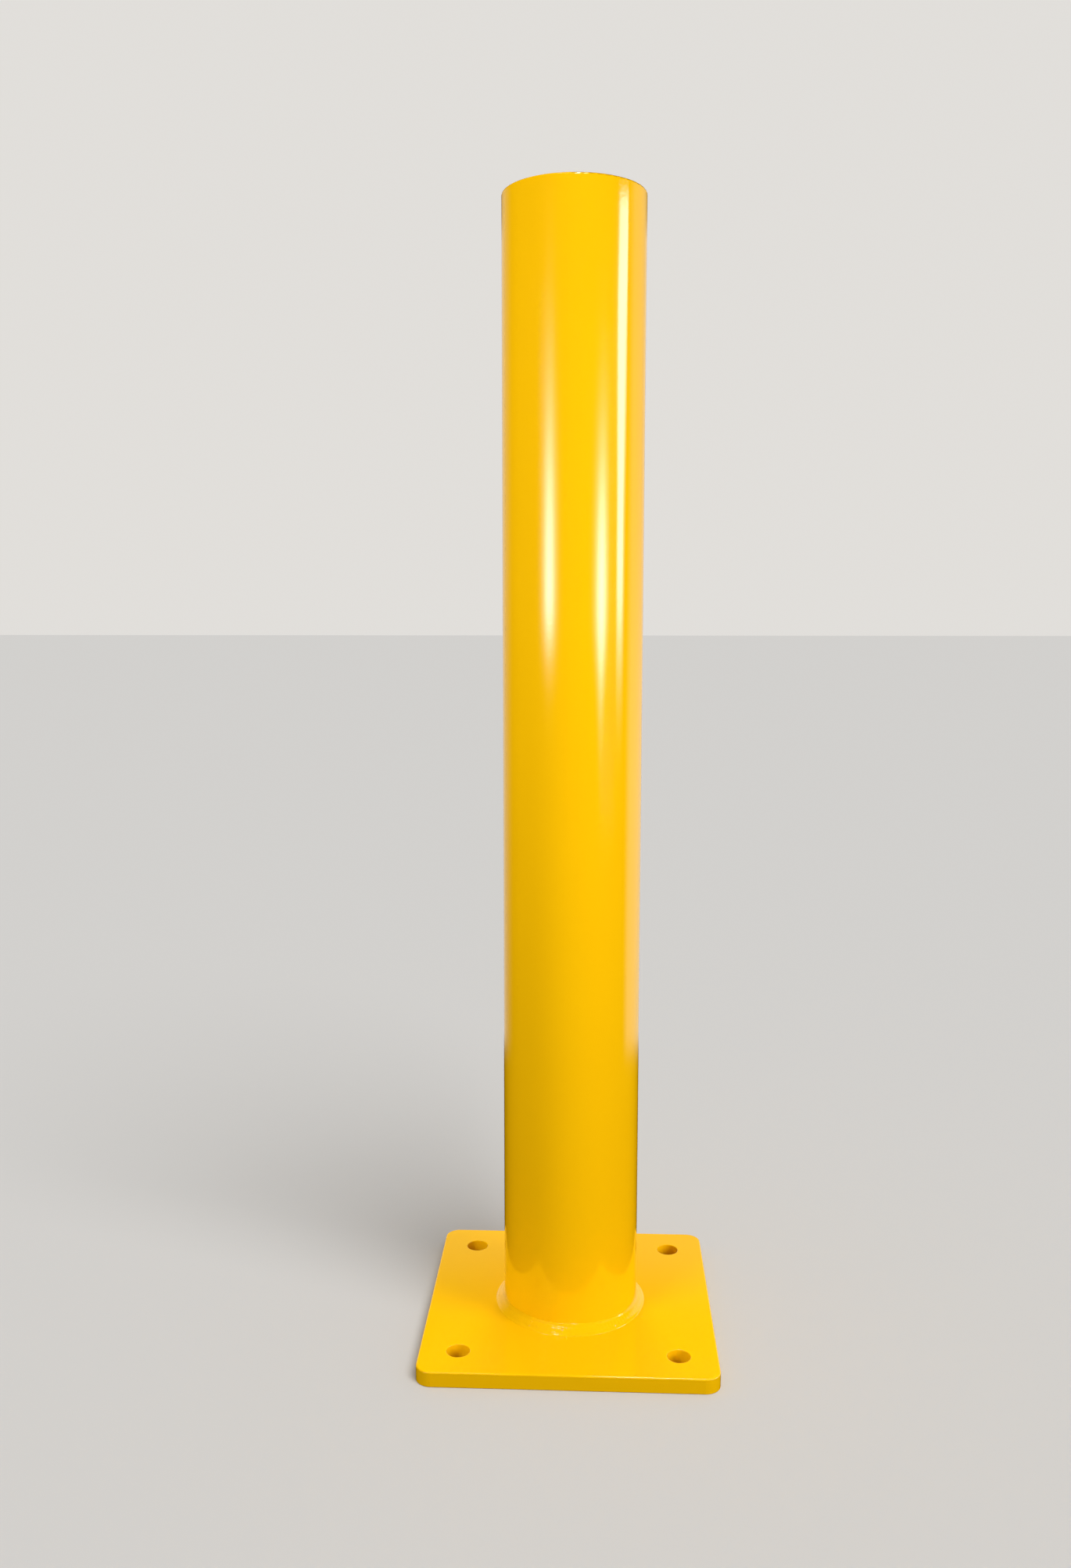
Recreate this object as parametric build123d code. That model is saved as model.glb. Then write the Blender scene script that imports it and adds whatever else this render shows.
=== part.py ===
"""Surface-mounted steel safety bollard: a pipe post with a welded-in cap on a square base plate.

Millimetres, +Z up. The origin is the centre of the base plate's underside, so the floor is z = 0,
the post's axis is the Z axis and the plate's sides run along X and Y.
"""

import os

from build123d import *

# Base plate: flat bar cut square, with its corners and edges eased
plate_width = 241.3
plate_depth = 241.3
plate_thickness = 12.7
plate_corner_radius = 12.7
plate_top_edge_radius = 1.2
plate_bottom_edge_radius = 0.6

# Anchor holes, one near each corner of the plate
anchor_hole_diameter = 19.05
anchor_side_distance = 31.75
anchor_hole_edge_radius = 0.6

# Post: round pipe that stands on the plate
post_diameter = 114.3
post_wall = 6.02
post_length = 914.4
post_rim_radius = 1.5
post_rim_land = 0.6

# Top cap: a disc let into the pipe's mouth, flush with its end
cap_thickness = 6.35
cap_clearance = 0.5

# Fillet weld round the foot of the post
base_weld_leg = 6.5
base_weld_bulge = 0.5
base_weld_fusion = 0.8

# Groove weld that joins the cap to the pipe
cap_weld_lap = 0.9
cap_weld_crown = 1.0

# What follows from the sizes above
post_radius = post_diameter / 2
bore_radius = post_radius - post_wall
cap_radius = bore_radius - cap_clearance
post_top = plate_thickness + post_length
anchor_spacing_x = plate_width - 2 * anchor_side_distance
anchor_spacing_y = plate_depth - 2 * anchor_side_distance
cap_groove = post_wall - post_rim_radius - post_rim_land - cap_weld_lap

upright = (Align.CENTER, Align.CENTER, Align.MIN)


def ring(outline):
    """A solid of revolution about the post's axis, from a closed outline drawn in the XZ plane."""
    return revolve(make_face(outline), Axis.Z)


def circles(body, radius):
    """The body's round edges of one radius, lowest first."""
    edges = body.edges().filter_by(GeomType.CIRCLE)
    return edges.filter_by(lambda edge: abs(edge.radius - radius) < 0.001).sort_by(Axis.Z)


def make_base_plate():
    """The plate, eased along its edges and round the upper mouths of its anchor holes."""
    body = Box(plate_width, plate_depth, plate_thickness, align=upright)
    body = fillet(body.edges().filter_by(Axis.Z), plate_corner_radius)
    body = fillet(body.faces().sort_by(Axis.Z)[-1].edges(), plate_top_edge_radius)
    body = fillet(body.faces().sort_by(Axis.Z)[0].edges(), plate_bottom_edge_radius)
    anchors = GridLocations(anchor_spacing_x, anchor_spacing_y, 2, 2)
    for place in anchors:
        body -= place * Cylinder(anchor_hole_diameter / 2, plate_thickness, align=upright)
    mouths = circles(body, anchor_hole_diameter / 2).group_by(Axis.Z)[-1]
    return fillet(mouths, anchor_hole_edge_radius)


def make_base_weld():
    """The bead round the foot. It lies on the plate and bites a little way into the pipe's wall."""
    root = post_radius - base_weld_fusion
    root_top = plate_thickness + base_weld_leg - base_weld_fusion
    plate_toe = (post_radius + base_weld_leg, 0, plate_thickness)
    post_toe = (post_radius, 0, plate_thickness + base_weld_leg)
    face_middle = (Vector(plate_toe) + Vector(post_toe)) / 2
    crest = face_middle + Vector(1, 0, 1).normalized() * base_weld_bulge
    straights = Polyline(post_toe, (root, 0, root_top), (root, 0, plate_thickness), plate_toe)
    return ring([straights, ThreePointArc(plate_toe, crest, post_toe)])


def make_post_tube(foot_bead):
    """The pipe, with its rim rounded and its half of the cap's weld groove cut inside its mouth."""
    foot = Location((0, 0, plate_thickness))
    body = foot * Cylinder(post_radius, post_length, align=upright)
    body = fillet(circles(body, post_radius)[-1], post_rim_radius)
    body -= foot * Cylinder(bore_radius, post_length, align=upright)
    body = chamfer(circles(body, bore_radius)[-1], cap_groove)
    return body - foot_bead


def make_top_cap():
    """The disc that closes the pipe, with its half of the weld groove round its upper edge."""
    underside = Location((0, 0, post_top - cap_thickness))
    body = underside * Cylinder(cap_radius, cap_thickness, align=upright)
    return chamfer(circles(body, cap_radius)[-1], cap_groove)


def make_cap_weld():
    """The bead that fills the groove between cap and pipe and stands a little proud of both."""
    root_height = post_top - cap_groove
    cap_edge = cap_radius - cap_groove
    pipe_edge = bore_radius + cap_groove
    inner_toe = (cap_edge - cap_weld_lap, 0, post_top)
    outer_toe = (pipe_edge + cap_weld_lap, 0, post_top)
    crest = ((cap_edge + pipe_edge) / 2, 0, post_top + cap_weld_crown)
    groove = [(cap_edge, 0, post_top), (cap_radius, 0, root_height)]
    groove += [(bore_radius, 0, root_height), (pipe_edge, 0, post_top)]
    straights = Polyline(inner_toe, *groove, outer_toe)
    return ring([straights, ThreePointArc(outer_toe, crest, inner_toe)])


base_weld = make_base_weld()
nodes = {
    "base_plate": make_base_plate(),
    "post_tube": make_post_tube(base_weld),
    "base_weld": base_weld,
    "top_cap": make_top_cap(),
    "cap_weld": make_cap_weld(),
}

os.makedirs("parts", exist_ok=True)
for name, shape in nodes.items():
    export_step(shape, f"parts/{name}.step")
    print(f"{name}: {shape.volume:.0f} mm3")
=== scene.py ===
"""Dresses a steel safety bollard in its powder coat and weld beads, and sets it on a studio floor.

Metres, +Z up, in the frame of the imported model: the origin is under the post, at the centre of the base
plate's underside. Run it as a script. The plate, post and cap keep their own meshes and get a coat; the
two weld beads are built here, because a real bead has ripples, uneven toes and a start and stop mark.
"""

import math

import bpy
from bpy.props import FloatProperty, FloatVectorProperty, PointerProperty
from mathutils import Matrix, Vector, noise


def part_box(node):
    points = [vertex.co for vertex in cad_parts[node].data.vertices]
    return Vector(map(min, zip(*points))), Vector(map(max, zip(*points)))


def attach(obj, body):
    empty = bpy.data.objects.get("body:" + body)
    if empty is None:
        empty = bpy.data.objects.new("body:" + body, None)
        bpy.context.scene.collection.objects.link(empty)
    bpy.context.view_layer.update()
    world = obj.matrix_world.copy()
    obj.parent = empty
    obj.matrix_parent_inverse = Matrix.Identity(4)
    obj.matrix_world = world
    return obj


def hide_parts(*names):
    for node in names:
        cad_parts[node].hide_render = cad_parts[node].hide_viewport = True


bl_info = {
    "name": "Steel Safety Bollard",
    "version": (1, 0, 0),
    "blender": (4, 5, 0),
    "location": "3D View > Sidebar > Bollard",
    "description": "Coats a welded pipe bollard, lays its weld beads and sets the studio",
    "category": "Object",
}

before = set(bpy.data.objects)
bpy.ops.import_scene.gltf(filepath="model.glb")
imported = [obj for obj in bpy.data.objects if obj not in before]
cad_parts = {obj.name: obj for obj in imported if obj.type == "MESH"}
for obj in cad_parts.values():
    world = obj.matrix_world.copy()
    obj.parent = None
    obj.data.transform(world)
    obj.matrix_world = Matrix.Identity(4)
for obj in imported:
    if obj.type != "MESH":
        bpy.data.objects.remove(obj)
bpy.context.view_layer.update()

BODY = "root"

plate_low, plate_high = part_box("base_plate")
post_low, post_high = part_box("post_tube")
foot_low, foot_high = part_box("base_weld")
crown_low, crown_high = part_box("cap_weld")

PLATE_TOP = plate_high.z
POST_RADIUS = post_high.x
POST_TOP = post_high.z
FOOT_LEG = foot_high.z - foot_low.z
CROWN_HEIGHT = crown_high.z - POST_TOP
CROWN_RADIUS = crown_high.x
MM = 0.001

# how many cuts make one turn of a bead
BEAD_CUTS = 960
# the cap's bead is drawn a little lower than its plain node, so that its ripples stay under that one's top
CROWN_SHARE = 0.72
# how far from the post's axis the glowing cards stand, and the height of one row of their points
CARD_RADIUS = 6
CARD_ROW = 25 * MM


# ---------------------------------------------------------------- settings


class CoatSettings(bpy.types.PropertyGroup):
    """The powder coat that covers every piece."""

    colour: FloatVectorProperty(
        name="Colour", description="Colour of the coat", subtype="COLOR", size=3, min=0, max=1,
        default=(0.94, 0.51, 0.0018),
    )
    deep_colour: FloatVectorProperty(
        name="Deep Colour", description="Colour where the coat lies thick", subtype="COLOR", size=3,
        min=0, max=1, default=(0.92, 0.49, 0.0015),
    )
    roughness: FloatProperty(
        name="Roughness", description="Mean roughness of the cured surface", min=0, max=1, default=0.06,
        subtype="FACTOR",
    )
    peel_pitch: FloatProperty(
        name="Orange Peel Pitch", description="Distance between the dimples of the orange peel",
        min=0.0005, max=0.02, default=2.2 * MM, unit="LENGTH",
    )
    peel_depth: FloatProperty(
        name="Orange Peel Depth", description="Depth of the orange peel's dimples",
        min=0, max=0.0005, default=0.012 * MM, unit="LENGTH", precision=6,
    )
    wave_pitch: FloatProperty(
        name="Flow Pitch", description="Distance between the long waves of the flowed coat",
        min=0.002, max=0.2, default=16 * MM, unit="LENGTH",
    )
    wave_depth: FloatProperty(
        name="Flow Depth", description="Height of the long waves of the flowed coat",
        min=0, max=0.001, default=0.012 * MM, unit="LENGTH", precision=6,
    )


class FootBeadSettings(bpy.types.PropertyGroup):
    """The fillet weld round the foot of the post."""

    leg: FloatProperty(
        name="Leg", description="How far the bead reaches up the post and out over the plate",
        min=0.001, max=0.03, default=FOOT_LEG - 0.2 * MM, unit="LENGTH",
    )
    bulge: FloatProperty(
        name="Bulge", description="How far the middle of the bead stands out", min=-0.002, max=0.004,
        default=0.5 * MM, unit="LENGTH",
    )
    feather: FloatProperty(
        name="Toe Feather", description="How far the coat carries the toes out in a hollow",
        min=0, max=0.004, default=0.8 * MM, unit="LENGTH",
    )
    wander: FloatProperty(
        name="Wander", description="How unevenly the toes run", min=0, max=0.003, default=0.3 * MM,
        unit="LENGTH",
    )
    ripple_pitch: FloatProperty(
        name="Ripple Pitch", description="Distance between the ripples of the bead", min=0.001, max=0.01,
        default=3.2 * MM, unit="LENGTH",
    )
    ripple_height: FloatProperty(
        name="Ripple Height", description="Height of the ripples under the coat", min=0, max=0.001,
        default=0.05 * MM, unit="LENGTH", precision=5,
    )


class CrownBeadSettings(bpy.types.PropertyGroup):
    """The weld between the cap and the pipe."""

    height: FloatProperty(
        name="Height", description="How proud of the cap the bead stands", min=0, max=0.01,
        default=CROWN_HEIGHT * CROWN_SHARE, unit="LENGTH",
    )
    width: FloatProperty(
        name="Width", description="Width of the bead from toe to toe", min=0.001, max=0.02,
        default=8.2 * MM, unit="LENGTH",
    )
    ripple_pitch: FloatProperty(
        name="Ripple Pitch", description="Distance between the ripples of the bead", min=0.001, max=0.01,
        default=2.8 * MM, unit="LENGTH",
    )
    ripple_height: FloatProperty(
        name="Ripple Height", description="Height of the ripples under the coat", min=0, max=0.001,
        default=0.07 * MM, unit="LENGTH", precision=5,
    )


class StageSettings(bpy.types.PropertyGroup):
    """Floor, lights and camera."""

    floor_colour: FloatVectorProperty(
        name="Floor Colour", description="Colour of the plain floor", subtype="COLOR", size=3,
        min=0, max=1, default=(0.70, 0.69, 0.675),
    )
    backdrop_colour: FloatVectorProperty(
        name="Backdrop Colour", description="Colour of the plain backdrop", subtype="COLOR", size=3,
        min=0, max=1, default=(0.755, 0.735, 0.705),
    )
    surround_colour: FloatVectorProperty(
        name="Surround Colour", description="Colour of the light from all round", subtype="COLOR", size=3,
        min=0, max=1, default=(1.0, 0.99, 0.97),
    )
    surround_strength: FloatProperty(
        name="Surround Strength", description="Brightness of the light from all round", min=0, max=5,
        default=0.44,
    )
    floor_light: FloatProperty(
        name="Floor Light", description="Strength of the sun that lights the floor alone", min=0, max=10,
        default=1.9,
    )
    lens: FloatProperty(
        name="Lens", description="Focal length of the camera in millimetres", min=10, max=200,
        default=30.28, unit="CAMERA",
    )
    camera_distance: FloatProperty(
        name="Camera Distance", description="Distance from the post's axis to the camera",
        min=0.2, max=10, default=1.0818, unit="LENGTH",
    )
    camera_height: FloatProperty(
        name="Camera Height", description="Height of the camera over the floor", min=0.01, max=5,
        default=0.6065, unit="LENGTH",
    )
    camera_azimuth: FloatProperty(
        name="Camera Azimuth", description="Turn of the camera round the post", subtype="ANGLE",
        default=math.radians(1.011),
    )
    camera_heading: FloatProperty(
        name="Camera Heading", description="Turn of the camera to its left from straight ahead",
        subtype="ANGLE", default=math.radians(2.617),
    )
    camera_tilt: FloatProperty(
        name="Camera Tilt", description="How far the camera looks down", subtype="ANGLE",
        default=math.radians(7.543),
    )


# ---------------------------------------------------------------- powder coat


def colour_mix(nodes, links, share, first, second):
    """A colour that runs from the first to the second as the share runs from 0 to 1."""
    mix = nodes.new("ShaderNodeMix")
    mix.data_type = "RGBA"
    first_socket, second_socket, result = mix.inputs[6], mix.inputs[7], mix.outputs[2]
    first_socket.default_value = (*first, 1)
    second_socket.default_value = (*second, 1)
    links.new(share, mix.inputs[0])
    return result


def noise_node(nodes, coordinates, links, pitch, detail, rough=0.5):
    """A noise texture whose features lie about one pitch apart, in metres."""
    texture = nodes.new("ShaderNodeTexNoise")
    texture.inputs["Scale"].default_value = 1 / pitch
    texture.inputs["Detail"].default_value = detail
    texture.inputs["Roughness"].default_value = rough
    links.new(coordinates.outputs["Object"], texture.inputs["Vector"])
    return texture


def relief(nodes, links, height, depth, below=None):
    """A bump node of one depth in metres, laid over another one."""
    bump = nodes.new("ShaderNodeBump")
    bump.inputs["Strength"].default_value = 1
    bump.inputs["Distance"].default_value = depth
    links.new(height, bump.inputs["Height"])
    if below:
        links.new(below.outputs["Normal"], bump.inputs["Normal"])
    return bump


def powder_coat(coat):
    """Glossy cured powder: an even colour with a slow drift, a fine orange peel and long flow waves."""
    material = bpy.data.materials.new("safety_yellow_powder_coat")
    material.use_nodes = True
    nodes, links = material.node_tree.nodes, material.node_tree.links
    shader = nodes["Principled BSDF"]
    coordinates = nodes.new("ShaderNodeTexCoord")

    drift = noise_node(nodes, coordinates, links, 70 * MM, 3)
    colour = colour_mix(nodes, links, drift.outputs["Fac"], coat.colour, coat.deep_colour)
    links.new(colour, shader.inputs["Base Color"])

    haze = noise_node(nodes, coordinates, links, 9 * MM, 4)
    gloss = nodes.new("ShaderNodeMapRange")
    gloss.inputs["From Min"].default_value = 0.3
    gloss.inputs["From Max"].default_value = 0.7
    gloss.inputs["To Min"].default_value = coat.roughness * 0.75
    gloss.inputs["To Max"].default_value = coat.roughness * 1.25
    links.new(haze.outputs["Fac"], gloss.inputs["Value"])
    links.new(gloss.outputs["Result"], shader.inputs["Roughness"])

    flow = noise_node(nodes, coordinates, links, coat.wave_pitch, 1)
    peel = noise_node(nodes, coordinates, links, coat.peel_pitch, 1)
    waves = relief(nodes, links, flow.outputs["Fac"], coat.wave_depth)
    dimples = relief(nodes, links, peel.outputs["Fac"], coat.peel_depth, waves)
    links.new(dimples.outputs["Normal"], shader.inputs["Normal"])

    shader.inputs["IOR"].default_value = 1.85
    shader.inputs["Specular IOR Level"].default_value = 0.5
    return material


# ---------------------------------------------------------------- weld beads


def bell(distance, width):
    """A smooth hump that is 1 at the middle and fades out over the width."""
    return math.exp(-((distance / width) ** 2))


def turn_between(a, b):
    """The smallest angle between two azimuths."""
    return abs((a - b + math.pi) % math.tau - math.pi)


def wobble(azimuth, per_turn, seed):
    """Smooth noise between about -1 and 1 that closes on itself round the post."""
    spot = Vector((math.cos(azimuth), math.sin(azimuth), 0)) * per_turn / math.tau
    return noise.noise(spot + Vector((0, 0, seed * 7.31))) * 1.6


def dome(centre, radius, height, points, faces):
    """Adds a small drop of metal, whose skirt runs out flat on the surface under it."""
    rings, spokes = 9, 24
    first = len(points)
    points.append(centre + Vector((0, 0, height)))
    for i in range(1, rings + 1):
        part = i / rings
        rise = height * (0.5 + 0.5 * math.cos(math.pi * part)) - 0.1 * MM * (i == rings)
        for j in range(spokes):
            turn = math.tau * j / spokes
            outward = Vector((math.cos(turn), math.sin(turn), 0))
            points.append(centre + outward * radius * part + Vector((0, 0, rise)))
    for j in range(spokes):
        k = (j + 1) % spokes
        faces.append((first, first + 1 + j, first + 1 + k))
        for i in range(rings - 1):
            low = first + 1 + i * spokes
            faces.append((low + j, low + spokes + j, low + spokes + k, low + k))


def lay_bead(name, section, drops=()):
    """A closed ring of bead. section(azimuth) gives the cut at that azimuth as (radius, height) points."""
    cuts = [section(math.tau * i / BEAD_CUTS) for i in range(BEAD_CUTS)]
    count = len(cuts[0])
    points = []
    for i, cut in enumerate(cuts):
        azimuth = math.tau * i / BEAD_CUTS
        points += [Vector((r * math.cos(azimuth), r * math.sin(azimuth), z)) for r, z in cut]
    faces = []
    for i in range(BEAD_CUTS):
        here, there = i * count, (i + 1) % BEAD_CUTS * count
        for j in range(count):
            k = (j + 1) % count
            faces.append((here + j, there + j, there + k, here + k))
    for drop in drops:
        dome(*drop, points, faces)
    mesh = bpy.data.meshes.new(name)
    mesh.from_pydata(points, [], faces)
    mesh.shade_smooth()
    piece = bpy.data.objects.new(name, mesh)
    bpy.context.scene.collection.objects.link(piece)
    return piece


FRONT = -math.pi / 2
# where the bead's end laps over its start, and how far round the lump there reaches
TIE_IN = FRONT - math.radians(13)
TIE_IN_REACH = math.radians(8)
# the foot bead's small marks: degrees from the front, degrees up from the plate, then length, width
# and height in mm
FOOT_MARKS = [
    (-4.2, 50, 2.6, 2.4, 0.75), (-13, 17, 5.5, 1.3, 0.4), (-33, 24, 2.4, 1.6, 0.5),
    (-32, 66, 1.6, 1.3, 0.35), (-21, 64, 4.5, 1.2, 0.16), (22, 64, 5.0, 1.2, 0.16),
    (38, 22, 2.0, 1.7, 0.5), (44, 62, 3.6, 1.5, 0.25), (118, 30, 3.0, 1.6, 0.4),
    (-140, 58, 2.2, 1.8, 0.45), (171, 24, 2.6, 2.0, 0.4), (-86, 30, 2.0, 1.6, 0.35),
]
# drops of spatter under the coat: degrees from the front, then distance out from the post, radius
# and height in mm
SPATTER = [(-2, 9.6, 1.7, 0.7), (63, 11.5, 0.9, 0.35), (-121, 10.4, 1.1, 0.4), (152, 13, 0.8, 0.3)]


def foot_bead(settings):
    """The fillet bead. Each cut turns about the corner between post and plate, from toe to toe."""
    section_steps = 40
    toe_spread = math.radians(11)
    ripples = round(math.tau * (POST_RADIUS + settings.leg / 2) / settings.ripple_pitch)

    def section(azimuth):
        plate_leg = settings.leg + settings.wander * wobble(azimuth, 22, 1)
        post_leg = settings.leg + settings.wander * wobble(azimuth, 26, 2)
        lap = bell(turn_between(azimuth, TIE_IN), TIE_IN_REACH)
        plate_leg += 0.5 * MM * lap
        swell = settings.bulge + 0.25 * MM * lap + 0.12 * MM * wobble(azimuth, 40, 3)
        cut = []
        for j in range(section_steps + 1):
            turn = math.pi / 2 * j / section_steps
            flat = 1 / (math.cos(turn) / plate_leg + math.sin(turn) / post_leg)
            reach = flat + swell * math.sin(2 * turn) ** 0.8
            reach += settings.feather * (bell(turn, toe_spread) + bell(math.pi / 2 - turn, toe_spread))
            lag = 1.1 * math.sin(2 * turn)
            reach += settings.ripple_height * math.sin(2 * turn) * math.sin(ripples * azimuth + lag)
            for from_front, up, length, width, height in FOOT_MARKS:
                across = turn_between(azimuth, FRONT + math.radians(from_front)) * POST_RADIUS / length
                along = (turn - math.radians(up)) * settings.leg / width
                reach += height * MM * bell(2 * math.hypot(across / MM, along / MM), 1)
            cut.append((POST_RADIUS + reach * math.cos(turn), PLATE_TOP + reach * math.sin(turn)))
        plate_toe, post_toe = cut[0], cut[-1]
        root = (POST_RADIUS - 0.7 * MM, PLATE_TOP - 0.3 * MM)
        return [root, (plate_toe[0], root[1]), *cut, (root[0], post_toe[1])]

    drops = []
    for from_front, out, radius, height in SPATTER:
        azimuth = FRONT + math.radians(from_front)
        centre = Vector((math.cos(azimuth), math.sin(azimuth), 0)) * (POST_RADIUS + out * MM)
        drops.append((centre + Vector((0, 0, PLATE_TOP)), radius * MM, height * MM))
    return lay_bead("foot_weld_bead", section, drops)


def crown_bead(settings):
    """The groove weld's crown, from its inner toe on the cap to its outer toe on the pipe's end."""
    section_steps = 18
    middle = CROWN_RADIUS - settings.width / 2 - 0.25 * MM
    ripples = round(math.tau * middle / settings.ripple_pitch)
    stop = math.radians(155)
    toe_depth = 0.2 * MM

    def section(azimuth):
        half = settings.width / 2 + 0.22 * MM * wobble(azimuth, 30, 4)
        centre = middle + 0.18 * MM * wobble(azimuth, 24, 5)
        height = settings.height * (1 + 0.10 * wobble(azimuth, 34, 6))
        cut = []
        for j in range(section_steps + 1):
            across = 2 * j / section_steps - 1
            hump = (1 - across * across) ** 0.8
            lag = 2.6 * (1 - across * across)
            rise = height * hump + settings.ripple_height * hump * math.sin(ripples * azimuth + lag)
            lump = bell(turn_between(azimuth, stop) * middle, 3 * MM)
            crater = bell(turn_between(azimuth, stop + 0.06) * middle, 1.6 * MM)
            rise += 0.12 * MM * (lump - 1.6 * crater) * hump
            cut.append((centre + half * across, POST_TOP + rise))
        cut[0] = (cut[0][0], POST_TOP - toe_depth)
        cut[-1] = (cut[-1][0], POST_TOP - toe_depth)
        return cut

    return lay_bead("cap_weld_bead", section)


# ---------------------------------------------------------------- stage


def aim(thing, target):
    """Turns a lamp so that it shines at a point."""
    thing.rotation_euler = (Vector(target) - thing.location).to_track_quat("-Z", "Y").to_euler()


def round_the_post(azimuth, distance, height):
    """A point at an azimuth from the front, in degrees, positive to the right."""
    turn = math.radians(azimuth)
    return Vector((distance * math.sin(turn), -distance * math.cos(turn), height))


def shine_on_floor(lamp, choice):
    """Keeps a lamp off the floor, or keeps it for the floor alone."""
    floor = bpy.data.objects["studio_floor"]
    name = "floor_" + choice.lower()
    group = bpy.data.collections.get(name)
    if not group:
        group = bpy.data.collections.new(name)
        group.objects.link(floor)
    lamp.light_linking.receiver_collection = group
    group.collection_objects[0].light_linking.link_state = choice


def soft_lamp(name, place, width, tall, watts, target, mirrored=False):
    """A diffusing lamp for the bollard alone. The coat shows its mirror image only if it is mirrored."""
    lamp = bpy.data.lights.new(name, "AREA")
    lamp.shape = "RECTANGLE"
    lamp.size = width
    lamp.size_y = tall
    lamp.energy = watts
    piece = bpy.data.objects.new(name, lamp)
    piece.location = place
    bpy.context.scene.collection.objects.link(piece)
    aim(piece, target)
    piece.visible_camera = False
    piece.visible_glossy = mirrored
    shine_on_floor(piece, "EXCLUDE")


# each lamp's name, place, width, height, watts, aim and whether the coat mirrors it
LAMPS = [
    ("right_lamp", round_the_post(60, 1.3, 0.64), 0.6, 0.8, 16.8, (0, 0, 0.64)),
    ("left_lamp", round_the_post(-42, 1.15, 0.82), 0.5, 0.5, 10.8, (0, 0, 0.82)),
    ("back_lamp", round_the_post(180, 0.8, 0.8), 0.5, 0.5, 7, (0, 0, 0)),
    ("edge_lamp", (0.15, -0.1, 1.9), 0.2, 0.2, 3, (0.15, -0.1, 0), True),
    ("bead_lamp", round_the_post(-26, 0.93, 2.45), 0.42, 0.14, 2, (0, 0, 0), True),
]


def floor_lamp(stage):
    """A wide sun for the floor alone, which gives it one even tone and a soft shadow of the bollard."""
    lamp = bpy.data.lights.new("floor_lamp", "SUN")
    lamp.energy = stage.floor_light
    lamp.angle = math.radians(35)
    piece = bpy.data.objects.new("floor_lamp", lamp)
    piece.location = round_the_post(40, 3, 4)
    bpy.context.scene.collection.objects.link(piece)
    aim(piece, (0, 0, 0))
    shine_on_floor(piece, "INCLUDE")


def glow_material():
    """Light that follows the glow stored at each point of a card."""
    material = bpy.data.materials.get("card_glow")
    if material:
        return material
    material = bpy.data.materials.new("card_glow")
    material.use_nodes = True
    nodes, links = material.node_tree.nodes, material.node_tree.links
    nodes.clear()
    stored = nodes.new("ShaderNodeAttribute")
    stored.attribute_name = "glow"
    light = nodes.new("ShaderNodeEmission")
    light.inputs["Color"].default_value = (1, 0.98, 0.95, 1)
    output = nodes.new("ShaderNodeOutputMaterial")
    links.new(stored.outputs["Fac"], light.inputs["Strength"])
    links.new(light.outputs["Emission"], output.inputs["Surface"])
    return material


def glow_card(name, azimuths, heights, glow):
    """A curved card that only the gloss of the coat sees. glow(azimuth, height) is its light."""
    columns, rows = 60, round((heights[1] - heights[0]) / CARD_ROW)
    points, values = [], []
    for i in range(columns + 1):
        azimuth = azimuths[0] + (azimuths[1] - azimuths[0]) * i / columns
        for j in range(rows + 1):
            height = heights[0] + (heights[1] - heights[0]) * j / rows
            points.append(round_the_post(azimuth, CARD_RADIUS, height))
            values.append(glow(azimuth, height))
    faces = []
    for i in range(columns):
        for j in range(rows):
            low = i * (rows + 1) + j
            faces.append((low, low + 1, low + rows + 2, low + rows + 1))
    mesh = bpy.data.meshes.new(name)
    mesh.from_pydata(points, [], faces)
    stored = mesh.attributes.new("glow", "FLOAT", "POINT")
    for i, value in enumerate(values):
        stored.data[i].value = value
    mesh.materials.append(glow_material())
    card = bpy.data.objects.new(name, mesh)
    bpy.context.scene.collection.objects.link(card)
    card.visible_camera = False
    card.visible_diffuse = False
    card.visible_shadow = False


def past(value, edge, fade):
    """How much is left of a glow that fades out past an edge; a negative fade runs the other way."""
    return bell(max(0, (value - edge) / fade), 1)


def ramp(value, start, end):
    """A smooth step from 0 at the start to 1 at the end."""
    part = min(max((value - start) / (end - start), 0), 1)
    return part * part * (3 - 2 * part)


def window_cards():
    """Three tall soft windows, whose images are the bright streaks down the post."""

    def left(azimuth, height):
        return 7.8 * bell(azimuth + 37, 8.9) * past(height, 0.68, 0.8) * past(height, 0.68, -0.25)

    def middle(azimuth, height):
        width = 4.5 + 4.0 * ramp(height, 0, 0.64)
        return 8.2 * bell(azimuth - 47.5, width) * past(height, 0.68, 0.63) * past(height, 0.65, -0.42)

    def right(azimuth, height):
        spread = 5 + 4 * ramp(height, 0.9, 2.7)
        centre = 82 + 3.5 * ramp(height, 2, 2.7)
        across = past(azimuth, centre + spread / 2, spread * 0.9)
        across *= past(azimuth, centre - spread / 2, -spread * 0.7)
        glow = 6.6 - 1.0 * ramp(height, 2.2, 2.6)
        return glow * across * past(height, 2.65, 0.03) * past(height, 0.88, -0.48)

    glow_card("left_window", (-75, -4), (-0.3, 2.8), left)
    glow_card("middle_window", (20, 74), (-0.8, 2.8), middle)
    glow_card("right_window", (60, 112), (-0.6, 2.8), right)


def wall_card():
    """A pale wall behind the post, whose image is the soft light along the post's two sides."""

    def wall(azimuth, height):
        left = 0.54 * ramp(azimuth, 248, 205)
        right = 0.46 * (1 + 0.5 * ramp(height, 1.7, -0.6)) * ramp(azimuth, 96, 112)
        side = (right if azimuth < 180 else left) * past(height, 2.75, 0.06)
        back = 0.2 * past(height, 2.95, 0.25) + 0.45 * past(height, 2.45, 0.1)
        aside = ramp(abs(azimuth - 180), 18, 40)
        return (back + (side - back) * aside) * past(height, -1.7, -0.1)

    glow_card("pale_wall", (94, 250), (-2, 3.5), wall)


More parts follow.
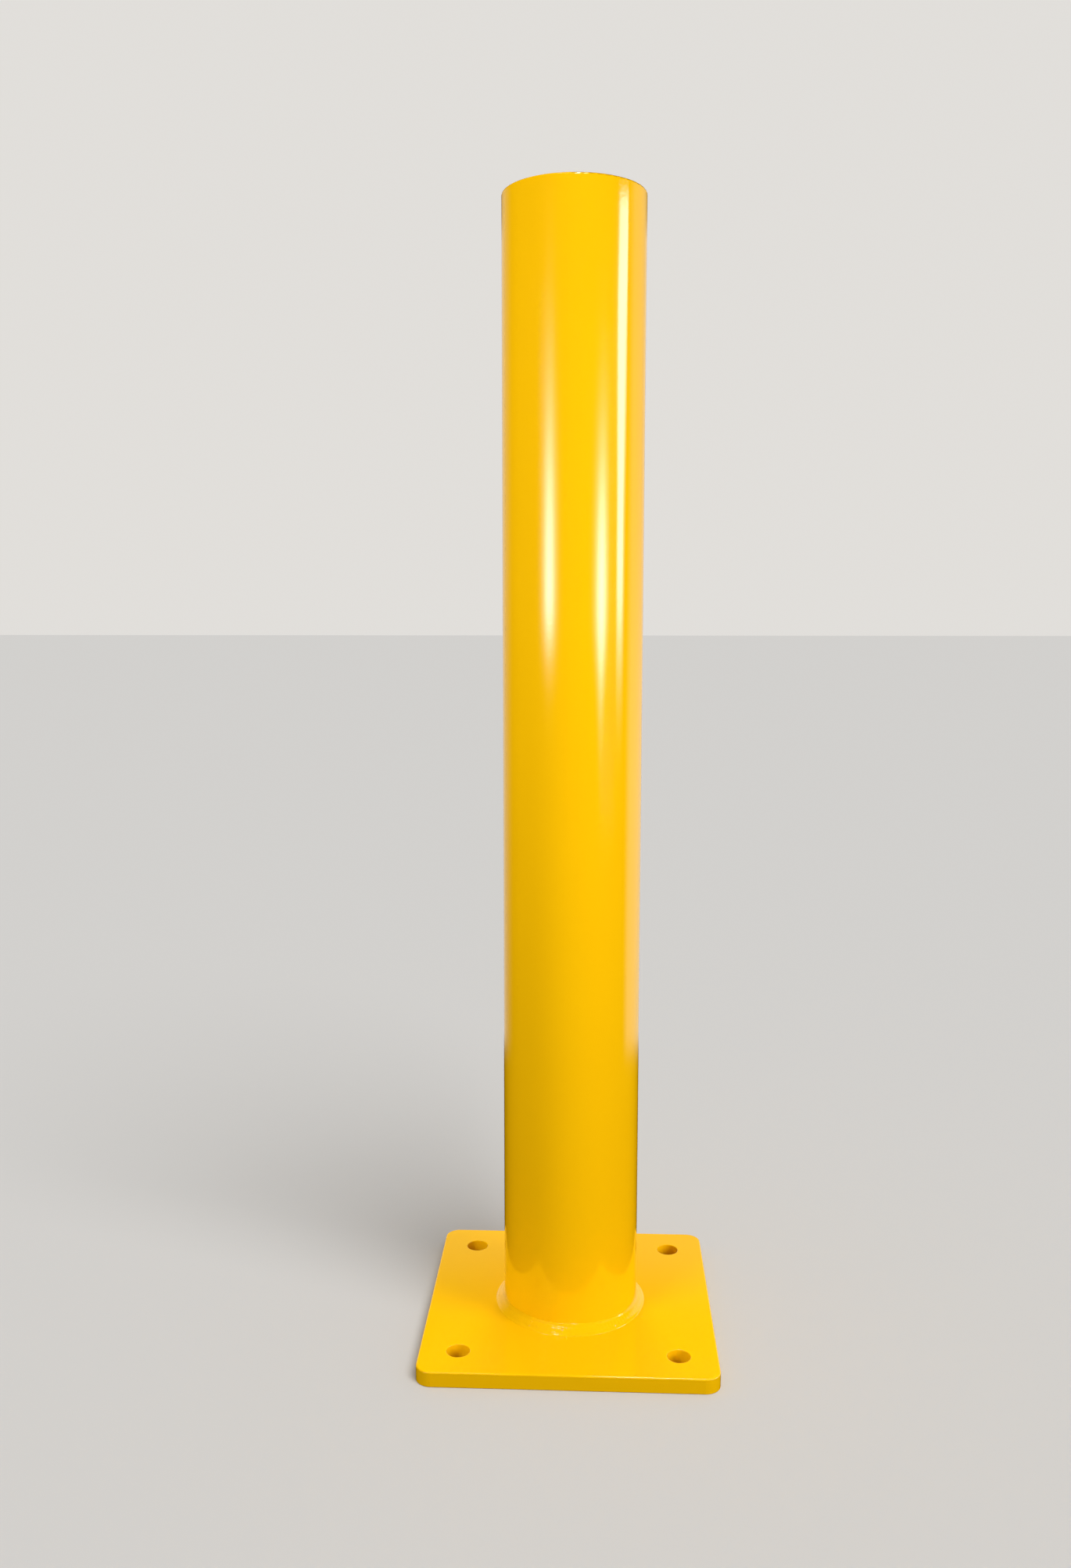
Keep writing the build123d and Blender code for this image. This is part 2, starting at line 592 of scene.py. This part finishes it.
def floor_material(stage):
    """Pale to the camera. To light that bounces off it the floor is dark, so the coat keeps its depth."""
    material = bpy.data.materials.new("plain_floor")
    material.use_nodes = True
    nodes, links = material.node_tree.nodes, material.node_tree.links
    shader = nodes["Principled BSDF"]
    path = nodes.new("ShaderNodeLightPath")
    dark = (0.05, 0.05, 0.05)
    tone = colour_mix(nodes, links, path.outputs["Is Camera Ray"], dark, stage.floor_colour)
    links.new(tone, shader.inputs["Base Color"])
    shader.inputs["Roughness"].default_value = 1
    shader.inputs["Specular IOR Level"].default_value = 0
    return material


def lay_floor(stage):
    """A plain pale floor, wide enough that its edge is far away."""
    reach = 30
    mesh = bpy.data.meshes.new("studio_floor")
    corners = [(-reach, -reach, 0), (reach, -reach, 0), (reach, reach, 0), (-reach, reach, 0)]
    mesh.from_pydata(corners, [], [(0, 1, 2, 3)])
    mesh.materials.append(floor_material(stage))
    floor = bpy.data.objects.new("studio_floor", mesh)
    bpy.context.scene.collection.objects.link(floor)
    floor.visible_glossy = False


def surround(stage):
    """A pale backdrop for the camera, and even light from all round for the pieces."""
    world = bpy.data.worlds.new("studio_surround")
    bpy.context.scene.world = world
    world.use_nodes = True
    nodes, links = world.node_tree.nodes, world.node_tree.links
    background = nodes["Background"]
    path = nodes.new("ShaderNodeLightPath")
    light = [part * stage.surround_strength for part in stage.surround_colour]
    choice = colour_mix(nodes, links, path.outputs["Is Camera Ray"], light, stage.backdrop_colour)
    links.new(choice, background.inputs["Color"])
    world.cycles_visibility.glossy = False


def place_camera(stage):
    data = bpy.data.cameras.new("camera")
    data.lens = stage.lens
    data.sensor_width = 36
    camera = bpy.data.objects.new("camera", data)
    bpy.context.scene.collection.objects.link(camera)
    azimuth = math.degrees(stage.camera_azimuth)
    camera.location = round_the_post(azimuth, stage.camera_distance, stage.camera_height)
    camera.rotation_euler = (math.pi / 2 - stage.camera_tilt, 0, stage.camera_heading)
    bpy.context.scene.camera = camera


# ---------------------------------------------------------------- operators


def coat_material():
    """The one coat that every piece shares, made when the first piece asks for it."""
    made = bpy.data.materials.get("safety_yellow_powder_coat")
    return made or powder_coat(bpy.context.scene.bollard_coat)


def finish_bead(piece, node):
    """Coats a bead, puts it on the body and lets it stand for its plain node."""
    piece.data.materials.append(coat_material())
    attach(piece, BODY)
    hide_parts(node)


class BOLLARD_OT_coat_steel(bpy.types.Operator):
    """Powder-coats the base plate, the post and the cap"""

    bl_idname = "bollard.coat_steel"
    bl_label = "Coat Plate, Post and Cap"

    def execute(self, context):
        for name in ("base_plate", "post_tube", "top_cap"):
            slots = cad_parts[name].material_slots
            for slot in slots:
                slot.material = coat_material()
        return {"FINISHED"}


class BOLLARD_OT_foot_weld(bpy.types.Operator):
    """Lays the fillet bead round the foot of the post"""

    bl_idname = "bollard.foot_weld"
    bl_label = "Lay Foot Weld"

    def execute(self, context):
        finish_bead(foot_bead(context.scene.bollard_foot_bead), "base_weld")
        return {"FINISHED"}


class BOLLARD_OT_cap_weld(bpy.types.Operator):
    """Lays the bead that joins the cap to the pipe"""

    bl_idname = "bollard.cap_weld"
    bl_label = "Lay Cap Weld"

    def execute(self, context):
        finish_bead(crown_bead(context.scene.bollard_crown_bead), "cap_weld")
        return {"FINISHED"}


class BOLLARD_OT_stage(bpy.types.Operator):
    """Sets the floor, the lights and the camera"""

    bl_idname = "bollard.stage"
    bl_label = "Set Stage"

    def execute(self, context):
        stage = context.scene.bollard_stage
        lay_floor(stage)
        surround(stage)
        window_cards()
        wall_card()
        floor_lamp(stage)
        for lamp in LAMPS:
            soft_lamp(*lamp)
        place_camera(stage)
        context.scene.view_settings.view_transform = "Standard"
        return {"FINISHED"}


class BOLLARD_PT_tools(bpy.types.Panel):
    """Lists the steps and the sizes that they use"""

    bl_idname = "BOLLARD_PT_tools"
    bl_label = "Steel Safety Bollard"
    bl_space_type = "VIEW_3D"
    bl_region_type = "UI"
    bl_category = "Bollard"

    def draw(self, context):
        scene = context.scene
        for operator, settings in STEPS:
            part = self.layout.box()
            part.operator(operator.bl_idname)
            group = getattr(scene, settings)
            for name in group.__annotations__:
                part.prop(group, name)


STEPS = [
    (BOLLARD_OT_coat_steel, "bollard_coat"),
    (BOLLARD_OT_foot_weld, "bollard_foot_bead"),
    (BOLLARD_OT_cap_weld, "bollard_crown_bead"),
    (BOLLARD_OT_stage, "bollard_stage"),
]
SETTINGS = {
    "bollard_coat": CoatSettings,
    "bollard_foot_bead": FootBeadSettings,
    "bollard_crown_bead": CrownBeadSettings,
    "bollard_stage": StageSettings,
}
CLASSES = [*SETTINGS.values(), *[operator for operator, _ in STEPS], BOLLARD_PT_tools]


def register():
    for made in CLASSES:
        bpy.utils.register_class(made)
    for name, settings in SETTINGS.items():
        setattr(bpy.types.Scene, name, PointerProperty(type=settings))


def unregister():
    for name in SETTINGS:
        delattr(bpy.types.Scene, name)
    for made in reversed(CLASSES):
        bpy.utils.unregister_class(made)


def main():
    register()
    bpy.ops.bollard.coat_steel()
    bpy.ops.bollard.foot_weld()
    bpy.ops.bollard.cap_weld()
    bpy.ops.bollard.stage()


if __name__ == "__main__":
    main()
